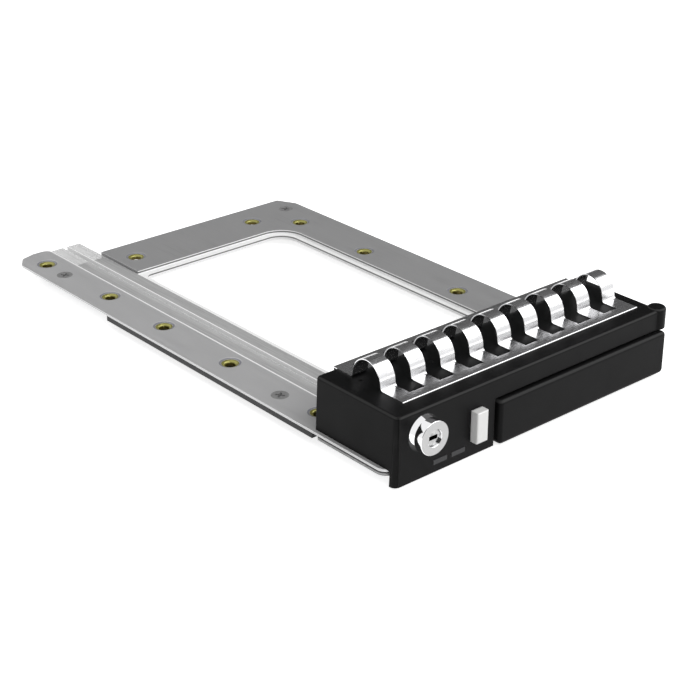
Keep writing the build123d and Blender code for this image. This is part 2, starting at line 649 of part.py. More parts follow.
def lever_handle():
    """The swing out handle, a channel with a hinge barrel at its right end."""
    outer = block(HANDLE_LEFT, HANDLE_RIGHT, -HANDLE_PROUD, HANDLE_REAR, HANDLE_BOTTOM, HANDLE_TOP)
    outer = fillet(outer.edges().filter_by(Axis.Y), HANDLE_CORNER)
    outer = fillet(outer.faces().sort_by(Axis.Y)[0].edges(), HANDLE_ROUND)
    low, high = HANDLE_BOTTOM + HANDLE_WALL, HANDLE_TOP - HANDLE_WALL
    skin_rear = HANDLE_SKIN - HANDLE_PROUD
    hollow = block(HANDLE_LEFT + HANDLE_WALL, HANDLE_RIGHT + 1, skin_rear, HANDLE_REAR + 1, low, high)
    handle = outer - hollow
    for number in range(1, RIBS + 1):
        x = HANDLE_LEFT + number * (PIVOT_X - HANDLE_LEFT) / (RIBS + 1)
        handle += block(x, x + HANDLE_RIB, skin_rear, HANDLE_REAR - BASE_GAP, low, high)
    handle += post(PIVOT_X, PIVOT_Y, HANDLE_BOTTOM, BARREL_TOP, BARREL_RADIUS)
    barrel_sides = (PIVOT_X - BARREL_RADIUS, PIVOT_X + BARREL_RADIUS)
    handle += block(*barrel_sides, skin_rear, PIVOT_Y, HANDLE_BOTTOM + 1, BARREL_TOP)
    slot_low, slot_high = BASE_BOTTOM - EAR_SLOT_GAP, BASE_TOP + EAR_SLOT_GAP
    slot_left = PIVOT_X - BARREL_RADIUS - 1
    handle -= block(slot_left, HANDLE_RIGHT + 1, skin_rear, HANDLE_REAR + 1, slot_low, slot_high)
    handle -= post(PIVOT_X, PIVOT_Y, HANDLE_BOTTOM - 1, HANDLE_TOP + 1, PIN_RADIUS + RUNNING_FIT)
    wall = HANDLE_LEFT + HANDLE_WALL
    catch = (HANDLE_LEFT - 1, wall + 1, ARM_FRONT - CLEARANCE, HANDLE_REAR + 1)
    handle -= block(*catch, SLIDER_BOTTOM - CLEARANCE, ARM_TOP + CLEARANCE)
    return handle


def hinge_pin():
    """The steel pin that the handle turns on."""
    pin = post(PIVOT_X, PIVOT_Y, PIN_BOTTOM, PIN_TOP, PIN_RADIUS)
    return chamfer(pin.edges().filter_by(GeomType.CIRCLE), PIN_RADIUS / 4)


def lever_spring():
    """The torsion spring that pops the handle out."""
    low = BARREL_TOP + CLEARANCE + LEVER_WIRE
    turns = 2 + 1 / 3
    helix = Helix(LEVER_PITCH, LEVER_PITCH * turns, LEVER_COIL, lefthand=True)
    path = Pos(PIVOT_X, PIVOT_Y, low) * Rot(0, 0, LEVER_TURN) * helix
    reach = math.sqrt(SCOOP_RADIUS**2 - LEVER_COIL**2)
    spring = coil(path, LEVER_WIRE)
    spring += wire_leg(path @ 0, -(path % 0), reach, LEVER_WIRE)
    spring += wire_leg(path @ 1, path % 1, LEVER_LEG, LEVER_WIRE)
    return spring


def release_button():
    """The push button with its stop and the slanted stem behind it."""
    head_rear = CLEARANCE
    head = block(BUTTON_LEFT, BUTTON_RIGHT, -BUTTON_PROUD, head_rear, BUTTON_BOTTOM, BUTTON_TOP)
    head = fillet(head.faces().sort_by(Axis.Y)[0].edges(), BUTTON_ROUND)
    neck_top = BUTTON_TOP - CLEARANCE
    button = head + block(BUTTON_LEFT, BUTTON_RIGHT, head_rear, STOP_REAR, STOP_BOTTOM, neck_top)
    button += block(STOP_LEFT, BUTTON_RIGHT, STOP_FRONT, STOP_REAR, STOP_BOTTOM, STOP_TOP)
    wedge = [
        (BUTTON_RIGHT, STOP_REAR, 0),
        (BUTTON_LEFT, STOP_REAR, 0),
        (BUTTON_LEFT, STOP_REAR + WEDGE_TIP, 0),
        (BUTTON_RIGHT, BUTTON_RIGHT + WEDGE_SLANT, 0),
    ]
    return button + slab(wedge, WEDGE_BOTTOM, WEDGE_TOP)


def latch_slider():
    """The latch that the button pushes to the left."""
    plate_right = RECESS_LEFT - RECESS_WALL - CLEARANCE
    slider = block(SLIDER_LEFT, plate_right, SLIDER_FRONT, SLIDER_REAR, SLIDER_BOTTOM, SLIDER_TOP)
    lower = [
        (SLIDER_BLOCK_LEFT, SLIDER_FRONT, 0),
        (SLIDER_FRONT - BLOCK_SLANT, SLIDER_FRONT, 0),
        (SLIDER_BLOCK_RIGHT, SLIDER_BLOCK_RIGHT + BLOCK_SLANT, 0),
        (SLIDER_BLOCK_RIGHT, SLIDER_REAR, 0),
        (SLIDER_BLOCK_LEFT, SLIDER_REAR, 0),
    ]
    slider += slab(lower, SLIDER_FLOOR, SLIDER_BOTTOM)
    tip = HANDLE_LEFT - CLEARANCE - RUNNING_FIT
    arm = [
        (ARM_LEFT, ARM_FRONT, 0),
        (tip - ARM_RAMP, ARM_FRONT, 0),
        (tip, ARM_FRONT + ARM_RAMP, 0),
        (tip, ARM_REAR, 0),
        (ARM_LEFT, ARM_REAR, 0),
    ]
    return slider + slab(arm, SLIDER_BOTTOM, ARM_TOP)


def latch_spring():
    """The compression spring behind the latch."""
    length = SPRING_LENGTH - 2 * SPRING_WIRE
    start = SPRING_POST_RIGHT + SPRING_WIRE
    centre = (start, SPRING_AXIS_Y, SPRING_AXIS_Z)
    path = Helix(length / SPRING_TURNS, length, SPRING_RADIUS, center=centre, direction=(1, 0, 0))
    return coil(path, SPRING_WIRE)


def lock_barrel():
    """The lock's housing with its flange, front ring and thread."""
    face = rod(-LOCK_PROUD, -LOCK_FLANGE, LOCK_FACE_RADIUS)
    face = chamfer(face.edges().sort_by(Axis.Y)[0], LOCK_FACE_EDGE)
    barrel = face + rod(-LOCK_FLANGE, 0, LOCK_FLANGE_RADIUS)
    barrel += rod(0, LOCK_REAR, LOCK_THREAD_RADIUS)
    barrel -= rod(-LOCK_PROUD - 1, LOCK_REAR + 1, PLUG_RADIUS + RUNNING_FIT)
    head_rear = -LOCK_PROUD + PLUG_RECESS + PLUG_HEAD + CLEARANCE
    return barrel - rod(-LOCK_PROUD - 1, head_rear, PLUG_HEAD_RADIUS + RUNNING_FIT)


def lock_plug():
    """The turning plug with its key slot and square tail."""
    front = -LOCK_PROUD + PLUG_RECESS
    plug = rod(front, front + PLUG_HEAD, PLUG_HEAD_RADIUS) + rod(front + PLUG_HEAD, TONGUE_FRONT, PLUG_RADIUS)
    half = PLUG_TAIL / 2
    plug += block(LOCK_X - half, LOCK_X + half, TONGUE_FRONT, TONGUE_REAR, LOCK_Z - half, LOCK_Z + half)
    key_sides = (LOCK_X - KEY_WIDTH / 2, LOCK_X + KEY_WIDTH / 2)
    key_levels = (LOCK_Z - KEY_HEIGHT / 2, LOCK_Z + KEY_HEIGHT / 2)
    plug -= block(*key_sides, front - 1, front + KEY_DEPTH, *key_levels)
    return plug - rod(TONGUE_FRONT - 3, TONGUE_REAR + 1, TONGUE_SCREW_SHANK)


def lock_tongue():
    """The flat tongue on the plug's tail, hanging down at rest."""
    half = TONGUE_WIDTH / 2
    low = LOCK_Z - TONGUE_REACH
    blade = block(LOCK_X - half, LOCK_X + half, TONGUE_FRONT, TONGUE_REAR, low - 1, LOCK_Z)
    tongue = (blade & rod(TONGUE_FRONT, TONGUE_REAR, TONGUE_REACH)) + rod(TONGUE_FRONT, TONGUE_REAR, TONGUE_HUB)
    hole = PLUG_TAIL / 2
    return tongue - block(LOCK_X - hole, LOCK_X + hole, TONGUE_FRONT, TONGUE_REAR, LOCK_Z - hole, LOCK_Z + hole)


def tongue_screw():
    """The screw that keeps the tongue on the plug."""
    screw = rod(TONGUE_REAR, TONGUE_REAR + TONGUE_SCREW_HEIGHT, TONGUE_SCREW_HEAD)
    screw += rod(TONGUE_FRONT - 2.5, TONGUE_REAR, TONGUE_SCREW_SHANK)
    slot = block(-TONGUE_SCREW_HEAD, TONGUE_SCREW_HEAD, 0, 1, -0.3, 0.3)
    return screw - Pos(LOCK_X, TONGUE_REAR + 0.8, LOCK_Z) * slot


def lock_washer():
    """The toothed washer under the lock's nut."""
    washer = rod(FACE_WALL, FACE_WALL + WASHER_THICK, WASHER_RADIUS)
    washer -= rod(FACE_WALL - 1, FACE_WALL + WASHER_THICK + 1, LOCK_THREAD_RADIUS)
    notch = block(WASHER_RADIUS - 0.5, WASHER_RADIUS + 1, FACE_WALL - 1, FACE_WALL + 2, -0.5, 0.5)
    for number in range(WASHER_TEETH):
        turn = Rot(0, number * 360 / WASHER_TEETH, 0)
        washer -= Pos(LOCK_X, 0, LOCK_Z) * turn * notch
    return washer


def lock_nut():
    """The hexagon nut behind the bezel's face."""
    front = FACE_WALL + WASHER_THICK
    hexagon = RegularPolygon(NUT_FLATS / 2, 6, major_radius=False)
    nut = Pos(LOCK_X, front, LOCK_Z) * extrude(Plane.XZ * hexagon, amount=NUT_THICK, dir=(0, 1, 0))
    return nut - rod(front - 1, front + NUT_THICK + 1, LOCK_THREAD_RADIUS)


def save(name, *pieces):
    """Move the pieces of a node to their place in the shared frame and write them."""
    solids = [solid.moved(Location(SHIFT)) for piece in pieces for solid in piece.solids()]
    placed = Compound(solids)
    placed.label = name
    export_step(placed, f"parts/{name}.step")
    box = placed.bounding_box()
    size = f"{box.size.X:.2f} x {box.size.Y:.2f} x {box.size.Z:.2f}"
    print(f"{name}: {len(placed.solids())} solids, {size}, volume {placed.volume:.1f}")


def main():
    """Build and write every piece."""
    os.makedirs("parts", exist_ok=True)
    save("tray_plate", tray_plate())
    save("drive_hole_bushes", *drive_hole_bushes())
    save("left_runner", runner(-1, LEFT_RUNNER_REAR))
    save("right_runner", runner(1, RIGHT_RUNNER_REAR))
    save("runner_screws", *runner_screws())
    save("base_plate", base_plate())
    save("left_light_pipe", light_pipe(LEFT_PIPE_X))
    save("right_light_pipe", light_pipe(RIGHT_PIPE_X))
    save("front_bezel", front_bezel())
    save("bezel_screws", *bezel_screws())
    save("contact_strip", contact_strip())
    save("lever_handle", lever_handle())
    save("hinge_pin", hinge_pin())
    save("lever_spring", lever_spring())
    save("release_button", release_button())
    save("latch_slider", latch_slider())
    save("latch_spring", latch_spring())
    save("lock_barrel", lock_barrel())
    save("lock_plug", lock_plug())
    save("lock_tongue", lock_tongue())
    save("tongue_screw", tongue_screw())
    save("lock_washer", lock_washer())
    save("lock_nut", lock_nut())


main()
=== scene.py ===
import logging
import math
from dataclasses import dataclass
from enum import Enum

import bpy
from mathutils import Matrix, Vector


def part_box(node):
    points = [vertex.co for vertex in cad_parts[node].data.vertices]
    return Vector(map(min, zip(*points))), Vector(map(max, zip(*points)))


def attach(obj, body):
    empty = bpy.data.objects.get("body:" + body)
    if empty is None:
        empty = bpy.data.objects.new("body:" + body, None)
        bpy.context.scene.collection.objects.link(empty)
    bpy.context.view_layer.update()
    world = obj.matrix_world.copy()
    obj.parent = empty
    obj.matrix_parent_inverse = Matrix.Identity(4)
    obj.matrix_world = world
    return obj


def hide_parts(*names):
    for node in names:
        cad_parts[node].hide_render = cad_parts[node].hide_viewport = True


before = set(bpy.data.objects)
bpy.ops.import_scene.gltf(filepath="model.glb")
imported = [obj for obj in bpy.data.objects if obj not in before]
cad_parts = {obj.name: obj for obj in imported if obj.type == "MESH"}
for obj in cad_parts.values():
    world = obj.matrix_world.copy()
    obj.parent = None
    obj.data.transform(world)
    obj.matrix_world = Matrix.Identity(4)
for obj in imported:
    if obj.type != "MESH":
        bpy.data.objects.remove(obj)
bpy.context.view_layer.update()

LOG = logging.getLogger("caddy")
MM = 0.001
WELD = 0.0005 * MM
TRACE_WELD = 0.001 * MM
SEAM_WELD = 0.002 * MM
NEW_PIECE_ANGLE = 30
SMOOTH_ANGLE = 42
FLAT_ANGLE = 0.3
NORMAL_WEIGHT = 100
NOISE_RANGE = (0.3, 0.7)
# The sockets that mix colours in a mix node, where names repeat.
MIX_FACTOR, MIX_COLOURS, MIX_RESULT = 0, (6, 7), 2

Colour = tuple[float, float, float]
Span = tuple[float, float]
Stops = tuple[Span, ...]
Points = list[tuple[float, float]]


class Body(Enum):
    """The group of the caddy that the new pieces move with."""

    TRAY = "tray"


class Slot(Enum):
    """The names of the materials that the new pieces wear."""

    BRASS = "yellow_brass"
    MOULDING = "black_moulding"
    SPRING_SHEET = "mirror_spring_sheet"
    CHROME = "lock_chrome"


@dataclass(frozen=True)
class Pattern:
    """Noise with its own number of waves per metre along X, Y and Z."""

    waves: tuple[float, float, float]
    detail: float = 3.0


@dataclass(frozen=True)
class Relief:
    """How strongly and how high a pattern stands out of the surface."""

    strength: float
    height: float


class Wiring:
    """Lays out and wires the nodes of one material."""

    def __init__(self, name: str) -> None:
        """Start a material with its principled shader.

        Args:
            name: what the material is called.
        """
        self.material = bpy.data.materials.new(name)
        self.material.use_nodes = True
        self.tree = self.material.node_tree
        self.shader = self.tree.nodes["Principled BSDF"]

    def add(self, kind: str, **values: object) -> bpy.types.Node:
        """Add a node and set its named inputs.

        Args:
            kind: the node's type name.
            values: input values, by input name with _ for a space.

        Returns:
            The new node.
        """
        node = self.tree.nodes.new(kind)
        for key, value in values.items():
            node.inputs[key.replace("_", " ")].default_value = value
        return node

    def link(self, source: bpy.types.NodeSocket, target: bpy.types.NodeSocket) -> None:
        """Wire one socket to another."""
        self.tree.links.new(source, target)

    def math(self, operation: str, first: object, second: object = 0.0) -> bpy.types.NodeSocket:
        """Combine two numbers or sockets.

        Args:
            operation: the math node's operation.
            first: a number or a socket.
            second: a number or a socket.

        Returns:
            The result's socket.
        """
        node = self.tree.nodes.new("ShaderNodeMath")
        node.operation = operation
        for socket, value in zip(node.inputs, (first, second)):
            if isinstance(value, bpy.types.NodeSocket):
                self.link(value, socket)
            else:
                socket.default_value = value
        return node.outputs[0]

    def place(self) -> bpy.types.NodeSocket:
        """The position in the object's own frame."""
        return self.add("ShaderNodeTexCoord").outputs["Object"]

    def facing(self) -> bpy.types.NodeSocket:
        """The direction that the surface faces."""
        return self.add("ShaderNodeNewGeometry").outputs["Normal"]

    def split(self, vector: bpy.types.NodeSocket) -> tuple[bpy.types.NodeSocket, ...]:
        """Split a vector.

        Args:
            vector: the vector's socket.

        Returns:
            The sockets of its X, Y and Z.
        """
        node = self.add("ShaderNodeSeparateXYZ")
        self.link(vector, node.inputs["Vector"])
        return tuple(node.outputs)

    def noise(self, pattern: Pattern) -> bpy.types.NodeSocket:
        """Lay a noise pattern over the object.

        Args:
            pattern: its waves and detail.

        Returns:
            The factor's socket.
        """
        mapping = self.add("ShaderNodeMapping")
        mapping.inputs["Scale"].default_value = pattern.waves
        self.link(self.place(), mapping.inputs["Vector"])
        noise = self.add("ShaderNodeTexNoise", Scale=1.0, Detail=pattern.detail)
        self.link(mapping.outputs["Vector"], noise.inputs["Vector"])
        return noise.outputs["Fac"]

    def stretch(self, value: bpy.types.NodeSocket, source: Span,
                target: Span = (0.0, 1.0)) -> bpy.types.NodeSocket:
        """Map one range of values to another and stay inside it.

        Args:
            value: the socket that is mapped.
            source: the range that it comes from.
            target: the range that it goes to.

        Returns:
            The mapped socket.
        """
        node = self.add("ShaderNodeMapRange")
        ends = zip(("From Min", "From Max", "To Min", "To Max"), (*source, *target))
        for key, end in ends:
            node.inputs[key].default_value = end
        self.link(value, node.inputs["Value"])
        return node.outputs["Result"]

    def span(self, factor: bpy.types.NodeSocket, target: Span) -> bpy.types.NodeSocket:
        """Stretch a noise factor, which is mostly within NOISE_RANGE, to a span of values."""
        return self.stretch(factor, NOISE_RANGE, target)

    def between(self, value: bpy.types.NodeSocket, low: float, high: float) -> bpy.types.NodeSocket:
        """Where a value lies between two others.

        Args:
            value: the socket that is compared.
            low: the lower bound.
            high: the upper bound.

        Returns:
            A socket, 1 between the bounds.
        """
        above = self.math("GREATER_THAN", value, low)
        return self.math("MULTIPLY", above, self.math("LESS_THAN", value, high))

    def mix(self, factor: bpy.types.NodeSocket, first: object, second: object) -> bpy.types.NodeSocket:
        """Mix two colours.

        Args:
            factor: 0 gives the first colour and 1 the second.
            first: a colour or a socket.
            second: a colour or a socket.

        Returns:
            The mixed colour's socket.
        """
        node = self.tree.nodes.new("ShaderNodeMix")
        node.data_type = "RGBA"
        self.link(factor, node.inputs[MIX_FACTOR])
        for number, value in zip(MIX_COLOURS, (first, second)):
            if isinstance(value, bpy.types.NodeSocket):
                self.link(value, node.inputs[number])
            else:
                node.inputs[number].default_value = (*value, 1.0)
        return node.outputs[MIX_RESULT]

    def ramp(self, factor: bpy.types.NodeSocket, greys: Stops) -> bpy.types.NodeSocket:
        """Turn a factor into a grey.

        Args:
            factor: the socket that is looked up.
            greys: (position, grey) stops.

        Returns:
            The grey's socket.
        """
        node = self.add("ShaderNodeValToRGB")
        stops = node.color_ramp.elements
        while len(stops) < len(greys):
            stops.new(1.0)
        for stop, (position, grey) in zip(stops, greys):
            stop.position = position
            stop.color = (grey, grey, grey, 1.0)
        self.link(factor, node.inputs["Fac"])
        return node.outputs["Color"]

    def bump(self, height: bpy.types.NodeSocket, relief: Relief, rounding: float = 0.0) -> None:
        """Raise the surface by a factor.

        Args:
            height: the factor.
            relief: how strongly and how high it stands out.
            rounding: the radius that sharp edges are shaded with.
        """
        node = self.add("ShaderNodeBump", Strength=relief.strength, Distance=relief.height)
        self.link(height, node.inputs["Height"])
        if rounding:
            bevel = self.add("ShaderNodeBevel", Radius=rounding)
            self.link(bevel.outputs["Normal"], node.inputs["Normal"])
        self.link(node.outputs["Normal"], self.shader.inputs["Normal"])

    def edge(self, radius: float, turn: Span = (0.02, 0.2)) -> bpy.types.NodeSocket:
        """Where the surface is within a radius of a sharp edge.

        Args:
            radius: the edge's width in metres.
            turn: how far the rounded normal turns away where the edge starts and where it is full.

        Returns:
            A factor, 1 on the edge.
        """
        bevel = self.add("ShaderNodeBevel", Radius=radius)
        dot = self.tree.nodes.new("ShaderNodeVectorMath")
        dot.operation = "DOT_PRODUCT"
        self.link(bevel.outputs["Normal"], dot.inputs[0])
        self.link(self.facing(), dot.inputs[1])
        return self.stretch(self.math("SUBTRACT", 1.0, dot.outputs["Value"]), turn)

    def set(self, **values: object) -> None:
        """Set or wire inputs of the principled shader, by name with _ for a space."""
        for key, value in values.items():
            socket = self.shader.inputs[key.replace("_", " ")]
            if isinstance(value, bpy.types.NodeSocket):
                self.link(value, socket)
            elif isinstance(value, tuple):
                socket.default_value = (*value, 1.0)
            else:
                socket.default_value = value


@dataclass(frozen=True)
class BrushedSheet:
    """Dull brushed steel with painted highlights along its edges, painted light in its channel and painted
    highlights, reflection and shade on the ledge round the window.
    """

    name: str = "brushed_sheet"
    dark: Colour = (0.37, 0.37, 0.373)
    light: Colour = (0.44, 0.44, 0.443)
    brushing: Pattern = Pattern((2600.0, 45.0, 400.0), 4.0)
    clouds: Pattern = Pattern((45.0, 30.0, 45.0), 2.0)
    cloud_share: float = 0.6
    mottle: Span = (-1.2, 1.0)
    strip_gain: float = 1.5
    strip_share: float = 0.75
    # A pale colour that paints light onto the channel floor, which lies in shade under the light pipes.
    channel_painted_light: Colour = (0.75, 0.75, 0.75)
    channel_depth: float = 0.5 * MM
    line_width: float = 0.4 * MM
    dish_colour: Colour = (0.31, 0.31, 0.345)
    dish_depths: Span = (0.08 * MM, 0.5 * MM)
    dish_tilt: float = 0.7
    # The colour of the painted highlights along the sheet's edges and along the bend at the channel's left
    # side.
    highlight_colour: Colour = (0.9, 0.9, 0.9)
    edge_width: float = 0.35 * MM
    edge_share: float = 0.85
    ledge_low: Span = (-30.3 * MM, -48.3 * MM)
    ledge_high: Span = (38.0 * MM, 67.6 * MM)
    ledge_start: float = 0.03 * MM
    ledge_reach: float = 2.8 * MM
    # Greys by depth down the ledge's step: painted highlights on its edges, a pale painted reflection on its
    # floor and painted shade on its walls and cut edge.
    ledge_light_and_shade: Stops = (
        (0.0, 0.95), (0.10, 0.95), (0.13, 0.12), (0.3, 0.16), (0.34, 0.95), (0.47, 0.95),
        (0.5, 0.14), (0.66, 0.18), (0.7, 0.9), (1.0, 0.85))
    metallic: float = 0.5
    roughness: Span = (0.36, 0.5)
    relief: Relief = Relief(0.06, 0.02 * MM)

    def sheet_grey(self, wiring: Wiring, brushing: bpy.types.NodeSocket,
                   on_strip: bpy.types.NodeSocket) -> bpy.types.NodeSocket:
        """Mottle the bare sheet and make its left strip paler.

        Args:
            wiring: the material's wiring.
            brushing: the brushing's factor.
            on_strip: 1 on the left strip.

        Returns:
            The colour's socket.
        """
        clouds = wiring.math("MULTIPLY", wiring.noise(self.clouds), self.cloud_share)
        mottle = wiring.math("ADD", brushing, clouds)
        grey = wiring.mix(wiring.span(mottle, self.mottle), self.dark, self.light)
        paler = tuple(value * self.strip_gain for value in self.light)
        return wiring.mix(wiring.math("MULTIPLY", on_strip, self.strip_share), grey, paler)

    def make(self, channel_left: float, top: float) -> bpy.types.Material:
        """Build the material.

        Args:
            channel_left: the paler left strip ends and the channel starts here.
            top: the height of the sheet's upper face.

        Returns:
            The material.
        """
        wiring = Wiring(self.name)
        brushing = wiring.noise(self.brushing)
        across, along, height = wiring.split(wiring.place())
        depth = wiring.math("SUBTRACT", top, height)
        colour = self.sheet_grey(wiring, brushing, wiring.math("LESS_THAN", across, channel_left))
        upward = wiring.math("GREATER_THAN", wiring.split(wiring.facing())[2], self.dish_tilt)
        dish = wiring.math("MULTIPLY", upward, wiring.between(depth, *self.dish_depths))
        colour = wiring.mix(dish, colour, self.dish_colour)
        # Painted light on the sunken channel floor between the left strip and the ledge.
        in_channel = wiring.between(across, channel_left, self.ledge_low[0])
        sunken = wiring.math("GREATER_THAN", depth, self.channel_depth)
        channel = wiring.math("MULTIPLY", in_channel, sunken)
        colour = wiring.mix(channel, colour, self.channel_painted_light)
        # Painted highlight: a bright line along the bend at the channel's left side.
        line = wiring.between(across, channel_left - self.line_width, channel_left)
        colour = wiring.mix(line, colour, self.highlight_colour)
        # Painted highlight along every sharp edge of the sheet.
        edge = wiring.math("MULTIPLY", wiring.edge(self.edge_width), self.edge_share)
        colour = wiring.mix(edge, colour, self.highlight_colour)
        # Paint the ledge round the window with its highlights, reflection and shade, by depth.
        ledge = wiring.math(
            "MULTIPLY", wiring.between(across, self.ledge_low[0], self.ledge_high[0]),
            wiring.between(along, self.ledge_low[1], self.ledge_high[1]))
        ledge = wiring.math("MULTIPLY", ledge, wiring.math("GREATER_THAN", depth, self.ledge_start))
        ramp = wiring.ramp(wiring.math("DIVIDE", depth, self.ledge_reach), self.ledge_light_and_shade)
        colour = wiring.mix(ledge, colour, ramp)
        # Where the ledge, the channel light and the bend highlight are painted, the metallic shine is taken
        # away so that the painted greys show.
        pale = wiring.math("MAXIMUM", wiring.math("MAXIMUM", ledge, channel), line)
        metal = wiring.math("SUBTRACT", self.metallic, wiring.math("MULTIPLY", pale, self.metallic))
        wiring.set(Base_Color=colour, Metallic=metal, Roughness=wiring.span(brushing, self.roughness))
        wiring.bump(brushing, self.relief)
        return wiring.material


@dataclass(frozen=True)
class Brass:
    """Turned brass funnels: a pale rim that carries a painted highlight, an olive cone and a bore darkened
    with painted shade.
    """

    name: str = "yellow_brass"
    # A pale colour that paints the highlight on the funnels' rims.
    rim: Colour = (0.80, 0.79, 0.58)
    cone: Colour = (0.38, 0.36, 0.11)
    # A dark colour that paints the shade deep in the bores.
    bore_shade: Colour = (0.11, 0.085, 0.015)
    rim_depths: Span = (0.14 * MM, 0.21 * MM)
    cone_depths: Span = (0.95 * MM, 1.14 * MM)
    turning: Pattern = Pattern((400.0, 400.0, 9000.0), 2.0)
    metallic: float = 0.6
    roughness: Span = (0.25, 0.36)
    relief: Relief = Relief(0.01, 0.01 * MM)

    def make(self, top: float) -> bpy.types.Material:
        """Build the material.

        Args:
            top: the height of the funnels' rims.

        Returns:
            The material.
        """
        wiring = Wiring(self.name)
        depth = wiring.math("SUBTRACT", top, wiring.split(wiring.place())[2])
        turning = wiring.noise(self.turning)
        # By depth: painted highlight on the rim, then the olive cone, then painted shade deep in the bore.
        colour = wiring.mix(wiring.stretch(depth, self.rim_depths), self.rim, self.cone)
        colour = wiring.mix(wiring.stretch(depth, self.cone_depths), colour, self.bore_shade)
        wiring.set(Base_Color=colour, Metallic=self.metallic, Roughness=wiring.span(turning, self.roughness))
        wiring.bump(turning, self.relief)
        return wiring.material


@dataclass(frozen=True)
class TurnedMetal:
    """Metal with fine turning marks and slightly uneven shine."""

    name: str
    colour: Colour
    shade: Colour
    roughness: float
    metallic: float = 1.0
    turning: Pattern = Pattern((500.0, 6000.0, 500.0), 2.0)
    patches: Pattern = Pattern((900.0, 900.0, 900.0))
    uneven: float = 0.2
    relief: Relief = Relief(0.05, 0.01 * MM)

    def make(self) -> bpy.types.Material:
        """Build the material and return it."""
        wiring = Wiring(self.name)
        turning = wiring.noise(self.turning)
        colour = wiring.mix(wiring.span(wiring.noise(self.patches), (0.0, 1.0)), self.shade, self.colour)
        rough = wiring.span(turning, (self.roughness * (1 - self.uneven), self.roughness * (1 + self.uneven)))
        wiring.set(Base_Color=colour, Metallic=self.metallic, Roughness=rough)
        wiring.bump(turning, self.relief)
        return wiring.material


HARDWARE = TurnedMetal("zinc_hardware", (0.62, 0.62, 0.63), (0.45, 0.45, 0.46), 0.32)


@dataclass(frozen=True)
class Moulding:
    """Moulded plastic with a fine grain, softly rounded edges and painted highlights along its edges and on
    its sloping shoulders.
    """

    name: str
    colour: Colour
    # The colour of the painted highlights along edges and shoulders.
    highlight_colour: Colour
    roughness: float
    coat: float = 0.0
    shine: float = 0.3
    grain: Pattern = Pattern((5200.0, 5200.0, 5200.0), 2.0)
    handling: Pattern = Pattern((120.0, 120.0, 120.0))
    handling_swing: float = 0.04
    grain_swing: float = 0.02
    edge_width: float = 0.35 * MM
    edge_share: float = 0.7
    relief: Relief = Relief(0.12, 0.03 * MM)
    # The tilts at which the painted highlight on sloping shoulders fades in and out.
    shoulder_highlight_tilts: Stops = ((0.0, 0.0), (0.3, 0.0), (0.5, 1.0), (0.8, 1.0), (0.96, 0.0), (1.0, 0.0))

    def make(self) -> bpy.types.Material:
        """Build the material and return it."""
        wiring = Wiring(self.name)
        grain = wiring.noise(self.grain)
        # Painted highlights: a lighter colour on sloping shoulders and along sharp edges.
        shoulder_highlight = wiring.ramp(wiring.split(wiring.facing())[2], self.shoulder_highlight_tilts)
        edge_highlight = wiring.math("MULTIPLY", wiring.edge(self.edge_width), self.edge_share)
        colour = wiring.mix(wiring.math("MAXIMUM", edge_highlight, shoulder_highlight), self.colour, self.highlight_colour)
        handled = (self.roughness - self.handling_swing, self.roughness + self.handling_swing)
        rough = wiring.math(
            "ADD", wiring.span(wiring.noise(self.handling), handled),
            wiring.span(grain, (-self.grain_swing, self.grain_swing)))
        wiring.set(Base_Color=colour, Roughness=rough, Specular_IOR_Level=self.shine, Coat_Weight=self.coat)
        wiring.bump(grain, self.relief, self.edge_width)
        return wiring.material


@dataclass(frozen=True)
class SpringSheet:
    """Bright spring sheet with faint rolling lines."""

    name: str = "mirror_spring_sheet"
    colour: Colour = (0.77, 0.77, 0.78)
    rolling: Pattern = Pattern((160.0, 1800.0, 1800.0))
    waves: Pattern = Pattern((110.0, 300.0, 300.0), 1.0)
    roughness: Span = (0.14, 0.28)
    relief: Relief = Relief(0.05, 0.02 * MM)

    def make(self) -> bpy.types.Material:
        """Build the material and return it."""
        wiring = Wiring(self.name)
        rough = wiring.span(wiring.noise(self.rolling), self.roughness)
        wiring.set(Base_Color=self.colour, Metallic=1.0, Roughness=rough)
        wiring.bump(wiring.noise(self.waves), self.relief)
        return wiring.material


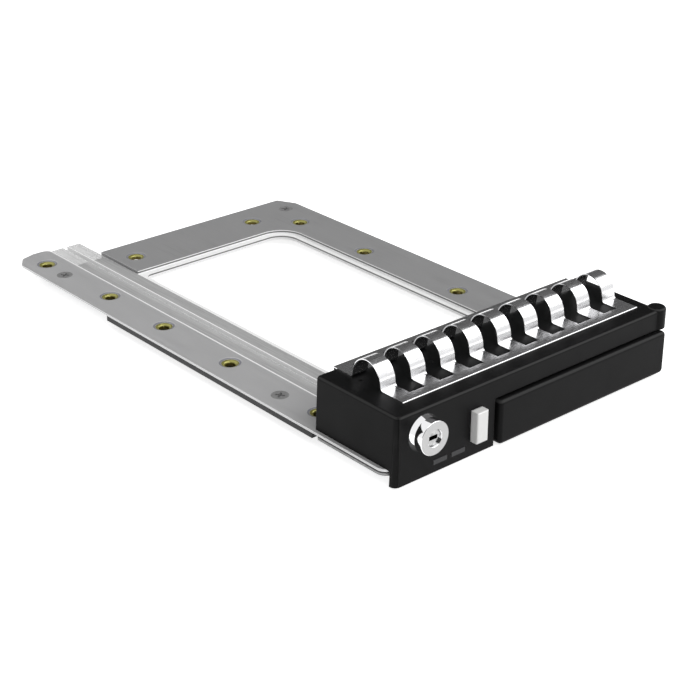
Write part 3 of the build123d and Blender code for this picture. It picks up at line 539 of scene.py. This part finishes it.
@dataclass(frozen=True)
class ClearBar:
    """Clear acrylic bars with painted highlights along their edges and left sides, whose front ends are
    smoked.
    """

    name: str = "clear_acrylic"
    smoke: Colour = (0.062, 0.062, 0.064)
    body: Colour = (0.62, 0.62, 0.62)
    # The colour of the painted highlights along the bars' edges and left sides.
    highlight_colour: Colour = (0.95, 0.95, 0.95)
    smoke_depth: float = 1.2 * MM
    edge_width: float = 0.5 * MM
    scratches: Pattern = Pattern((2500.0, 60.0, 2500.0))
    cover: Span = (0.5, 0.7)
    shine: float = 0.5
    smoke_dulling: float = 0.42
    refraction: float = 1.49
    roughness: Span = (0.1, 0.25)
    relief: Relief = Relief(0.05, 0.02 * MM)

    def make(self, front: float, lefts: tuple[float, ...]) -> bpy.types.Material:
        """Build the material.

        Args:
            front: the depth at which the bars' front ends lie.
            lefts: where each bar's left side lies.

        Returns:
            The material.
        """
        wiring = Wiring(self.name)
        across, along, _ = wiring.split(wiring.place())
        smoked = wiring.math("LESS_THAN", along, front + self.smoke_depth)
        scratches = wiring.noise(self.scratches)
        # Painted highlights along the bars' sharp edges and along their left sides.
        edge = wiring.edge(self.edge_width)
        for left in lefts:
            line = wiring.between(across, left - self.edge_width, left + self.edge_width)
            edge = wiring.math("MAXIMUM", edge, line)
        colour = wiring.mix(edge, self.body, self.highlight_colour)
        colour = wiring.mix(smoked, colour, self.smoke)
        cover = wiring.math("MAXIMUM", edge, wiring.span(scratches, self.cover))
        shine = wiring.math("SUBTRACT", self.shine, wiring.math("MULTIPLY", smoked, self.smoke_dulling))
        wiring.set(Base_Color=colour, Alpha=wiring.math("MAXIMUM", cover, smoked), IOR=self.refraction,
                   Specular_IOR_Level=shine, Roughness=wiring.span(scratches, self.roughness))
        wiring.bump(scratches, self.relief)
        return wiring.material


@dataclass(frozen=True)
class LockChrome:
    """Bright chrome with a satin face."""

    name: str = "lock_chrome"
    chrome: Colour = (0.88, 0.88, 0.89)
    satin: Colour = (0.42, 0.42, 0.42)
    face_depth: float = 0.05 * MM
    blasting: Pattern = Pattern((5000.0, 5000.0, 5000.0))
    satin_roughness: Span = (0.3, 0.45)
    chrome_roughness: float = 0.05
    relief: Relief = Relief(0.25, 0.02 * MM)

    def make(self, face: float) -> bpy.types.Material:
        """Build the material.

        Args:
            face: the depth of the lock's face.

        Returns:
            The material.
        """
        wiring = Wiring(self.name)
        on_face = wiring.math("LESS_THAN", wiring.split(wiring.place())[1], face + self.face_depth)
        blasting = wiring.noise(self.blasting)
        satin_rough = wiring.math("MULTIPLY", on_face, wiring.span(blasting, self.satin_roughness))
        wiring.set(Base_Color=wiring.mix(on_face, self.chrome, self.satin), Metallic=1.0,
                   Roughness=wiring.math("ADD", satin_rough, self.chrome_roughness))
        wiring.bump(wiring.math("MULTIPLY", blasting, on_face), self.relief)
        return wiring.material


def pick_only(piece: bpy.types.Object) -> None:
    """Make a piece the only selected and the active one."""
    bpy.ops.object.select_all(action="DESELECT")
    piece.select_set(True)
    bpy.context.view_layer.objects.active = piece


def give(piece: bpy.types.Object, body: Body, finish: bpy.types.Material) -> None:
    """Give a new piece its finish and its body.

    Args:
        piece: the finished mesh.
        body: the group that it moves with.
        finish: the material.
    """
    piece.data.materials.clear()
    piece.data.materials.append(finish)
    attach(piece, body.value)


def settle(piece: bpy.types.Object, body: Body, finish: bpy.types.Material,
           crease: float = NEW_PIECE_ANGLE) -> None:
    """Put a new piece's origin, normals and shading right and give it its finish and body.

    Args:
        piece: the finished mesh.
        body: the group that it moves with.
        finish: the material.
        crease: the angle in degrees from which its edges look sharp.
    """
    pick_only(piece)
    bpy.ops.object.transform_apply(location=True, rotation=True, scale=True)
    bpy.ops.object.mode_set(mode="EDIT")
    bpy.ops.mesh.select_all(action="SELECT")
    bpy.ops.mesh.normals_make_consistent(inside=False)
    bpy.ops.object.mode_set(mode="OBJECT")
    bpy.ops.object.shade_smooth_by_angle(angle=math.radians(crease))
    give(piece, body, finish)


def refine(node: str, name: str, body: Body, finish: bpy.types.Material) -> bpy.types.Object:
    """Replace a CAD node by a welded copy with evenly shaded curves.

    Args:
        node: the CAD node's name.
        name: the new piece's name.
        body: the group that it moves with.
        finish: the material.

    Returns:
        The new piece.
    """
    pick_only(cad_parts[node])
    bpy.ops.object.duplicate(linked=False)
    piece = bpy.context.object
    piece.name = name
    bpy.ops.object.mode_set(mode="EDIT")
    bpy.ops.mesh.select_all(action="SELECT")
    bpy.ops.mesh.remove_doubles(threshold=WELD)
    bpy.ops.mesh.dissolve_limited(angle_limit=math.radians(FLAT_ANGLE))
    bpy.ops.object.mode_set(mode="OBJECT")
    bpy.ops.object.shade_smooth_by_angle(angle=math.radians(SMOOTH_ANGLE))
    weigh = piece.modifiers.new("weigh", "WEIGHTED_NORMAL")
    weigh.weight = NORMAL_WEIGHT
    weigh.keep_sharp = True
    bpy.ops.object.modifier_apply(modifier=weigh.name)
    give(piece, body, finish)
    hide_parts(node)
    LOG.info("%s replaces %s", name, node)
    return piece


def arc(centre: Span, radius: float, start: float, sweep: float, steps: int) -> Points:
    """Points along an arc.

    Args:
        centre: its middle.
        radius: its radius.
        start: the angle that it starts at.
        sweep: the angle that it runs through.
        steps: how many straight steps it has.

    Returns:
        The points, from its start to its end.
    """
    turns = [start + sweep * step / steps for step in range(steps + 1)]
    return [(centre[0] + radius * math.cos(turn), centre[1] + radius * math.sin(turn)) for turn in turns]


def new_line(name: str, points: list[Vector]) -> bpy.types.Object:
    """Draw a closed line through some points and stay in edit mode.

    Args:
        name: the piece's name.
        points: the corners of the line.

    Returns:
        The new piece.
    """
    bpy.ops.mesh.primitive_plane_add(size=MM, location=points[0])
    piece = bpy.context.object
    piece.name = name
    bpy.ops.object.mode_set(mode="EDIT")
    bpy.ops.mesh.select_all(action="SELECT")
    bpy.ops.mesh.merge(type="CENTER")
    here = points[0]
    for there in points[1:] + points[:1]:
        bpy.ops.mesh.extrude_region_move(TRANSFORM_OT_translate={"value": there - here})
        here = there
    bpy.ops.mesh.select_all(action="SELECT")
    bpy.ops.mesh.remove_doubles(threshold=TRACE_WELD)
    bpy.ops.mesh.select_all(action="SELECT")
    return piece


def new_profile(name: str, left: float, width: float, section: Points) -> bpy.types.Object:
    """Extrude a closed section along X.

    Args:
        name: the piece's name.
        left: where it starts.
        width: how long it is.
        section: (y, z) points, in metres.

    Returns:
        The new piece.
    """
    piece = new_line(name, [Vector((left, y, z)) for y, z in section])
    bpy.ops.mesh.edge_face_add()
    bpy.ops.mesh.extrude_region_move(TRANSFORM_OT_translate={"value": (width, 0.0, 0.0)})
    bpy.ops.object.mode_set(mode="OBJECT")
    return piece


def new_lathe(name: str, axis: Vector, profile: Points, steps: int) -> bpy.types.Object:
    """Turn a closed profile round an axis that runs along Y.

    Args:
        name: the piece's name.
        axis: a point on the axis, at depth 0 of the profile.
        profile: (radius, depth) points, in metres.
        steps: how many flats the round has.

    Returns:
        The new piece.
    """
    piece = new_line(name, [axis + Vector((radius, depth, 0.0)) for radius, depth in profile])
    bpy.ops.mesh.spin(steps=steps, angle=math.tau, center=axis, axis=(0, 1, 0))
    bpy.ops.mesh.select_all(action="SELECT")
    bpy.ops.mesh.remove_doubles(threshold=SEAM_WELD)
    bpy.ops.object.mode_set(mode="OBJECT")
    return piece


def join(name: str, pieces: list[bpy.types.Object]) -> bpy.types.Object:
    """Join pieces into the first of them.

    Args:
        name: the joined piece's name.
        pieces: what is joined.

    Returns:
        The joined piece.
    """
    pick_only(pieces[0])
    for piece in pieces:
        piece.select_set(True)
    bpy.ops.object.join()
    pieces[0].name = name
    return pieces[0]


def cut_holes(piece: bpy.types.Object, cutters: list[bpy.types.Object]) -> None:
    """Cut holes in a piece.

    Args:
        piece: what is cut.
        cutters: the holes' solids, which are used up.
    """
    cutter = join("cutter", cutters)
    pick_only(piece)
    cut = piece.modifiers.new("holes", "BOOLEAN")
    cut.operation = "DIFFERENCE"
    cut.solver = "EXACT"
    cut.object = cutter
    bpy.ops.object.modifier_apply(modifier=cut.name)
    bpy.data.objects.remove(cutter, do_unlink=True)


def dress(finish: bpy.types.Material, *nodes: str) -> None:
    """Give CAD nodes a finish.

    Args:
        finish: the material.
        nodes: the nodes' names.
    """
    for name in nodes:
        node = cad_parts[name]
        node.data.materials.clear()
        node.data.materials.append(finish)
        LOG.info("%s wears %s", name, finish.name)


@dataclass
class Tray:
    """The sheet metal tray with its bushes, runners, screws and light pipes."""

    pipe_inset: float = 0.8 * MM
    base: TurnedMetal = TurnedMetal("base_sheet", (0.36, 0.36, 0.36), (0.2, 0.2, 0.2), 0.4, metallic=0.3)
    screw: TurnedMetal = TurnedMetal("screw_zinc", (0.42, 0.42, 0.42), (0.3, 0.3, 0.3), 0.35, metallic=0.5)
    runner: Moulding = Moulding("dark_runner", (0.03, 0.03, 0.032), (0.09, 0.09, 0.09), 0.5)

    def build(self) -> None:
        """Dress the tray's nodes."""
        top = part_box("tray_plate")[1].z
        pipes = ("left_light_pipe", "right_light_pipe")
        boxes = [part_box(pipe) for pipe in pipes]
        lefts = tuple(low.x for low, _ in boxes)
        dress(BrushedSheet().make(lefts[0] - self.pipe_inset, top), "tray_plate")
        dress(self.base.make(), "base_plate")
        refine("drive_hole_bushes", "turned_bushes", Body.TRAY, Brass().make(top))
        dress(self.runner.make(), "left_runner", "right_runner")
        dress(self.screw.make(), "runner_screws", "bezel_screws")
        dress(ClearBar().make(boxes[0][0].y, lefts), *pipes)


@dataclass
class ContactStrip:
    """The bright spring strip with its nine arched fingers and their relief holes."""

    fingers: int = 9
    finger_width: float = 5.8 * MM
    sheet: float = 0.3 * MM
    crest_rise: float = 7.6 * MM
    crest_radius: float = 6.0 * MM
    leg_lean: float = math.radians(9.5)
    foot_radius: float = 0.9 * MM
    crest_inset: float = 14.75 * MM
    slot_rear: float = 7.25 * MM
    slot_front: float = 12.25 * MM
    front_lip: float = 1.3 * MM
    rear_lip: float = 2.6 * MM
    hole_radius: float = 0.45 * MM
    hole_inset: float = 3.0 * MM
    front_bend: float = 0.36 * MM
    bend_steps: int = 6
    crest_steps: int = 28
    foot_steps: int = 8
    hole_steps: int = 24

    def side(self, crest_y: float, level: float, thin: float) -> Points:
        """One face of a finger, from its front foot to its rear foot.

        Args:
            crest_y: where the crest is.
            level: the height of the flanges' top.
            thin: how far the face lies inside the outer one.

        Returns:
            (y, z) points.
        """
        base = level - thin
        crest, foot = self.crest_radius - thin, self.foot_radius + thin
        half = (self.crest_rise + crest / math.sin(self.leg_lean) - crest) * math.tan(self.leg_lean)
        foot_y = half + foot * math.tan((math.pi / 2 - self.leg_lean) / 2)
        bend = math.pi / 2 - self.leg_lean
        points = [(crest_y - self.slot_front, base)]
        points += arc((crest_y - foot_y, base + foot), foot, -math.pi / 2, bend, self.foot_steps)
        points += arc((crest_y, base + self.crest_rise - crest), crest, math.pi - self.leg_lean,
                      2 * self.leg_lean - math.pi, self.crest_steps)
        points += arc((crest_y + foot_y, base + foot), foot, math.pi + self.leg_lean, bend, self.foot_steps)
        points.append((crest_y + self.slot_rear, base))
        return points

    def front_band(self, low: Vector, high: Vector, crest_y: float, level: float) -> bpy.types.Object:
        """Bend the band along the strip's front edge.

        Args:
            low: the strip's lowest corner.
            high: its highest corner.
            crest_y: where the fingers' crests are.
            level: the height of the band's top.

        Returns:
            The band.
        """
        under = level - self.sheet
        section = [(crest_y - self.slot_front, level), (crest_y - self.slot_front, under),
                   (low.y + self.sheet, under), (low.y + self.sheet, level - self.front_lip),
                   (low.y, level - self.front_lip)]
        bend_at = (low.y + self.front_bend, level - self.front_bend)
        section += arc(bend_at, self.front_bend, math.pi, -math.pi / 2, self.bend_steps)
        return new_profile("front_band", low.x, high.x - low.x, section)

    def rear_band(self, low: Vector, high: Vector, crest_y: float, level: float) -> bpy.types.Object:
        """Bend the band along the strip's rear edge.

        Args:
            low: the strip's lowest corner.
            high: its highest corner.
            crest_y: where the fingers' crests are.
            level: the height of the band's top.

        Returns:
            The band.
        """
        under = level - self.sheet
        inner = high.y - self.sheet
        section = [(high.y, level), (high.y, level - self.rear_lip), (inner, level - self.rear_lip),
                   (inner, under), (crest_y + self.slot_rear, under), (crest_y + self.slot_rear, level)]
        return new_profile("rear_band", low.x, high.x - low.x, section)

    def build(self) -> None:
        """Bend the strip and cut its relief holes."""
        low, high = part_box("contact_strip")
        level = high.z - self.crest_rise
        crest_y = high.y - self.crest_inset
        pitch = (high.x - low.x - self.finger_width) / (self.fingers - 1)
        rear_band = self.rear_band(low, high, crest_y, level)
        cutters = []
        for number in range(self.fingers):
            hole_x = min(low.x + number * pitch + self.finger_width, high.x - 2 * self.hole_radius)
            place = Vector((hole_x, high.y - self.hole_inset, level - self.sheet / 2))
            bpy.ops.mesh.primitive_cylinder_add(
                vertices=self.hole_steps, radius=self.hole_radius, depth=3 * self.sheet, location=place)
            cutters.append(bpy.context.object)
        cut_holes(rear_band, cutters)
        section = self.side(crest_y, level, 0.0) + self.side(crest_y, level, self.sheet)[::-1]
        fingers = [new_profile("finger", low.x, self.finger_width, section)]
        for number in range(1, self.fingers):
            pick_only(fingers[0])
            bpy.ops.object.duplicate(linked=False)
            bpy.ops.transform.translate(value=(number * pitch, 0.0, 0.0))
            fingers.append(bpy.context.object)
        strip = join("finger_strip", [rear_band, self.front_band(low, high, crest_y, level), *fingers])
        settle(strip, Body.TRAY, SpringSheet().make())
        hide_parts("contact_strip")
        LOG.info("contact strip has %d fingers at a pitch of %.2f mm", self.fingers, pitch / MM)


@dataclass
class FrontPanel:
    """The black bezel with the handle, the button and the latch behind it."""

    black: Moulding = Moulding(
        "black_moulding", (0.0055, 0.0055, 0.0057), (0.034, 0.034, 0.034), 0.42, shine=0.065)
    white: Moulding = Moulding("white_button", (0.74, 0.74, 0.73), (0.9, 0.9, 0.9), 0.3, coat=0.2)
    wire: TurnedMetal = TurnedMetal("spring_wire", (0.5, 0.5, 0.51), (0.32, 0.32, 0.33), 0.3)
    wall_reach: float = 1.4 * MM
    wall_lean: float = 1.0 * MM
    row_digits: int = 5

    def lean_wall(self, shell: bpy.types.Object) -> None:
        """Lean the top of the bezel's left wall inwards, as the mould's draft does.

        Args:
            shell: the bezel's piece.
        """
        low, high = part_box("front_bezel")
        reach = low.x + self.wall_reach
        rows = {round(vertex.co.z, self.row_digits)
                for vertex in shell.data.vertices if vertex.co.x < reach}
        pick_only(shell)
        bpy.ops.object.mode_set(mode="EDIT")
        bpy.ops.mesh.select_mode(type="VERT")
        for row in sorted(rows):
            bpy.ops.mesh.select_all(action="DESELECT")
            bpy.ops.object.mode_set(mode="OBJECT")
            for vertex in shell.data.vertices:
                vertex.select = vertex.co.x < reach and round(vertex.co.z, self.row_digits) == row
            bpy.ops.object.mode_set(mode="EDIT")
            shift = self.wall_lean * (row - low.z) / (high.z - low.z)
            bpy.ops.transform.translate(value=(shift, 0.0, 0.0))
        bpy.ops.object.mode_set(mode="OBJECT")

    def build(self) -> None:
        """Dress the bezel, the handle, the button and the latch."""
        black = self.black.make()
        self.lean_wall(refine("front_bezel", "bezel_shell", Body.TRAY, black))
        dress(black, "lever_handle", "latch_slider")
        dress(self.white.make(), "release_button")
        dress(HARDWARE.make(), "hinge_pin")
        dress(self.wire.make(), "lever_spring", "latch_spring")


@dataclass
class KeyLock:
    """The key lock: a turned housing with its thread, the plug, nut, washer and tongue."""

    proud: float = 4.8 * MM
    face_radius: float = 5.1 * MM
    barrel_radius: float = 5.35 * MM
    rim_depth: float = 0.35 * MM
    flange_radius: float = 5.9 * MM
    flange: float = 1.9 * MM
    flange_edge: float = 0.25 * MM
    thread_radius: float = 4.0 * MM
    thread_depth: float = 0.32 * MM
    thread_pitch: float = 0.75 * MM
    thread_flank: float = 0.3
    plug_radius: float = 2.25 * MM
    head_radius: float = 2.65 * MM
    head_depth: float = 2.8 * MM
    rim: float = 0.15 * MM
    crease_angle: float = 15.0
    steps: int = 96
    curve_steps: int = 7
    plug: TurnedMetal = TurnedMetal("plug_metal", (0.5, 0.5, 0.5), (0.25, 0.25, 0.25), 0.15)

    def curve(self, inner: Span, outer: Span) -> Points:
        """A quarter ellipse that starts flat at the inner point and ends along the axis at the outer one.

        Args:
            inner: (radius, depth) where it starts.
            outer: (radius, depth) where it ends.

        Returns:
            The points of the curve.
        """
        points = []
        for step in range(self.curve_steps + 1):
            turn = math.pi / 2 * step / self.curve_steps
            radius = inner[0] + (outer[0] - inner[0]) * math.sin(turn)
            depth = outer[1] + (inner[1] - outer[1]) * math.cos(turn)
            points.append((radius, depth))
        return points

    def profile(self, front: float, rear: float) -> Points:
        """The housing's section as (radius, depth) points.

        Args:
            front: the depth of its face.
            rear: the depth of its rear end.

        Returns:
            The closed profile.
        """
        points = [
            (self.plug_radius, rear),
            (self.plug_radius, front + self.head_depth),
            (self.head_radius, front + self.head_depth),
            (self.head_radius, front + self.rim),
            (self.head_radius + self.rim, front),
        ]
        points += self.curve((self.face_radius, front), (self.barrel_radius, front + self.rim_depth))
        points.append((self.barrel_radius, -self.flange))
        points.append((self.flange_radius, -self.flange_edge))
        points.append((self.flange_radius, 0.0))
        points.append((self.thread_radius, 0.0))
        flank = self.thread_flank * self.thread_pitch
        groove = self.thread_pitch
        while groove < rear - self.thread_pitch / 2:
            points.append((self.thread_radius, groove - flank))
            points.append((self.thread_radius - self.thread_depth, groove))
            points.append((self.thread_radius, groove + flank))
            groove += self.thread_pitch
        points.append((self.thread_radius, rear))
        return points

    def build(self) -> None:
        """Turn the housing and dress the lock's nodes."""
        low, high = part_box("lock_barrel")
        centre = (low + high) / 2
        wall_y = low.y + self.proud
        profile = self.profile(-self.proud, high.y - wall_y)
        housing = new_lathe("lock_housing", Vector((centre.x, wall_y, centre.z)), profile, self.steps)
        settle(housing, Body.TRAY, LockChrome().make(low.y), self.crease_angle)
        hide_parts("lock_barrel")
        LOG.info("lock housing turned from %d points", len(profile))
        dress(self.plug.make(), "lock_plug")
        dress(HARDWARE.make(), "lock_nut", "lock_washer", "lock_tongue", "tongue_screw")


@dataclass(frozen=True)
class Card:
    """A dark card that only shiny surfaces show."""

    name: str
    place: Vector
    way: Vector
    size: Vector
    grey: Colour = (0.15, 0.15, 0.15)
    roughness: float = 0.9

    def hang(self) -> None:
        """Hang the card."""
        turn = self.way.to_track_quat("Z", "Y").to_euler()
        bpy.ops.mesh.primitive_plane_add(size=1, location=self.place, rotation=turn)
        card = bpy.context.object
        card.name = self.name
        card.scale = self.size
        material = bpy.data.materials.new(self.name)
        material.use_nodes = True
        shader = material.node_tree.nodes["Principled BSDF"]
        shader.inputs["Base Color"].default_value = (*self.grey, 1.0)
        shader.inputs["Roughness"].default_value = self.roughness
        card.data.materials.append(material)
        card.visible_camera = False
        card.visible_shadow = False
        card.visible_diffuse = False


@dataclass(frozen=True)
class Lamp:
    """A soft square lamp that faces the object."""

    name: str
    place: Vector
    side: float
    watts: float

    def hang(self) -> None:
        """Hang the lamp."""
        turn = (-self.place).to_track_quat("-Z", "Y").to_euler()
        bpy.ops.object.light_add(type="AREA", location=self.place, rotation=turn)
        lamp = bpy.context.object
        lamp.name = self.name
        lamp.data.size = self.side
        lamp.data.energy = self.watts


@dataclass
class Studio:
    """The plain pale floor, the soft lamps, the dark cards and the camera."""

    camera_at: Vector = Vector((-0.33108, -0.39761, 0.23918))
    camera_way: Vector = Vector((0.58767, 0.68373, -0.43261))
    focal_mm: float = 85.96
    sensor_mm: float = 36.0
    near_clip: float = 0.01
    floor_size: float = 6.0
    floor_drop: float = 0.05 * MM
    floor_grey: Colour = (0.9, 0.9, 0.9)
    floor_roughness: float = 0.9
    floor_glow: float = 0.75
    white: Colour = (1.0, 1.0, 1.0)
    sky: float = 0.55
    side_away: float = 1.1
    side_size: Vector = Vector((0.9, 0.9, 1.0))
    roof: Card = Card(
        "dark_roof", Vector((5.3, 5.93, 1.0)), Vector((0.0, 0.0, -1.0)), Vector((10.0, 12.0, 1.0)))
    back: Card = Card(
        "dark_back", Vector((2.6, 3.0, 1.22)), Vector((-0.65, -0.76, 0.0)), Vector((5.0, 2.0, 1.0)))
    key: Lamp = Lamp("key_lamp", Vector((0.2, -1.5, 1.5)), 2.2, 22.0)
    fill: Lamp = Lamp("fill_lamp", Vector((1.3, -0.6, 1.2)), 1.2, 9.0)

    def add_camera(self) -> None:
        """Stand the camera where the photograph was taken from."""
        turn = self.camera_way.to_track_quat("-Z", "Y").to_euler()
        bpy.ops.object.camera_add(location=self.camera_at, rotation=turn)
        camera = bpy.context.object
        camera.data.lens = self.focal_mm
        camera.data.sensor_width = self.sensor_mm
        camera.data.clip_start = self.near_clip
        bpy.context.scene.camera = camera

    def straight_rays(self, tree: bpy.types.NodeTree) -> bpy.types.NodeSocket:
        """Tell what is seen from what only lights the object.

        Args:
            tree: the node tree that the answer is used in.

        Returns:
            A factor, 1 for the camera's own rays, reflections and rays through clear pieces.
        """
        rays = tree.nodes.new("ShaderNodeLightPath")
        seen = rays.outputs["Is Camera Ray"]
        for name in ("Is Glossy Ray", "Is Transmission Ray"):
            either = tree.nodes.new("ShaderNodeMath")
            either.operation = "MAXIMUM"
            tree.links.new(seen, either.inputs[0])
            tree.links.new(rays.outputs[name], either.inputs[1])
            seen = either.outputs[0]
        return seen

    def add_world(self) -> None:
        """White to the camera, to reflections and through clear pieces, and a plain grey light."""
        world = bpy.data.worlds.new("studio")
        bpy.context.scene.world = world
        world.use_nodes = True
        tree = world.node_tree
        background = tree.nodes["Background"]
        background.inputs["Color"].default_value = (*self.white, 1.0)
        level = tree.nodes.new("ShaderNodeMapRange")
        level.inputs["To Min"].default_value = self.sky
        level.inputs["To Max"].default_value = 1.0
        tree.links.new(self.straight_rays(tree), level.inputs["Value"])
        tree.links.new(level.outputs["Result"], background.inputs["Strength"])

    def add_floor(self) -> None:
        """Lay the pale floor, which is white to the camera but keeps the shadow."""
        bpy.ops.mesh.primitive_plane_add(size=self.floor_size, location=(0.0, 0.0, -self.floor_drop))
        floor = bpy.context.object
        floor.name = "studio_floor"
        material = bpy.data.materials.new("pale_floor")
        material.use_nodes = True
        tree = material.node_tree
        shader = tree.nodes["Principled BSDF"]
        shader.inputs["Base Color"].default_value = (*self.floor_grey, 1.0)
        shader.inputs["Roughness"].default_value = self.floor_roughness
        shader.inputs["Specular IOR Level"].default_value = 0.0
        shader.inputs["Emission Color"].default_value = (*self.white, 1.0)
        glow = tree.nodes.new("ShaderNodeMath")
        glow.operation = "MULTIPLY"
        glow.inputs[1].default_value = self.floor_glow
        tree.links.new(self.straight_rays(tree), glow.inputs[0])
        tree.links.new(glow.outputs[0], shader.inputs["Emission Strength"])
        floor.data.materials.append(material)

    def build(self) -> None:
        """Set up the whole studio."""
        bpy.ops.object.select_all(action="DESELECT")
        self.add_camera()
        self.add_world()
        self.add_floor()
        side = Card("dark_side", -self.side_away * self.camera_way, self.camera_way, self.side_size)
        for stand in (self.roof, self.back, side, self.key, self.fill):
            stand.hang()
        bpy.context.scene.view_settings.view_transform = "Standard"
        LOG.info("studio is ready")


def main() -> None:
    """Build the caddy, piece by piece, and its studio."""
    logging.basicConfig(level=logging.INFO, format="%(name)s: %(message)s")
    bpy.ops.object.select_all(action="DESELECT")
    for assembly in (Tray(), ContactStrip(), FrontPanel(), KeyLock()):
        assembly.build()
        LOG.info("%s is built", type(assembly).__name__)
    Studio().build()


if __name__ == "__main__":
    main()
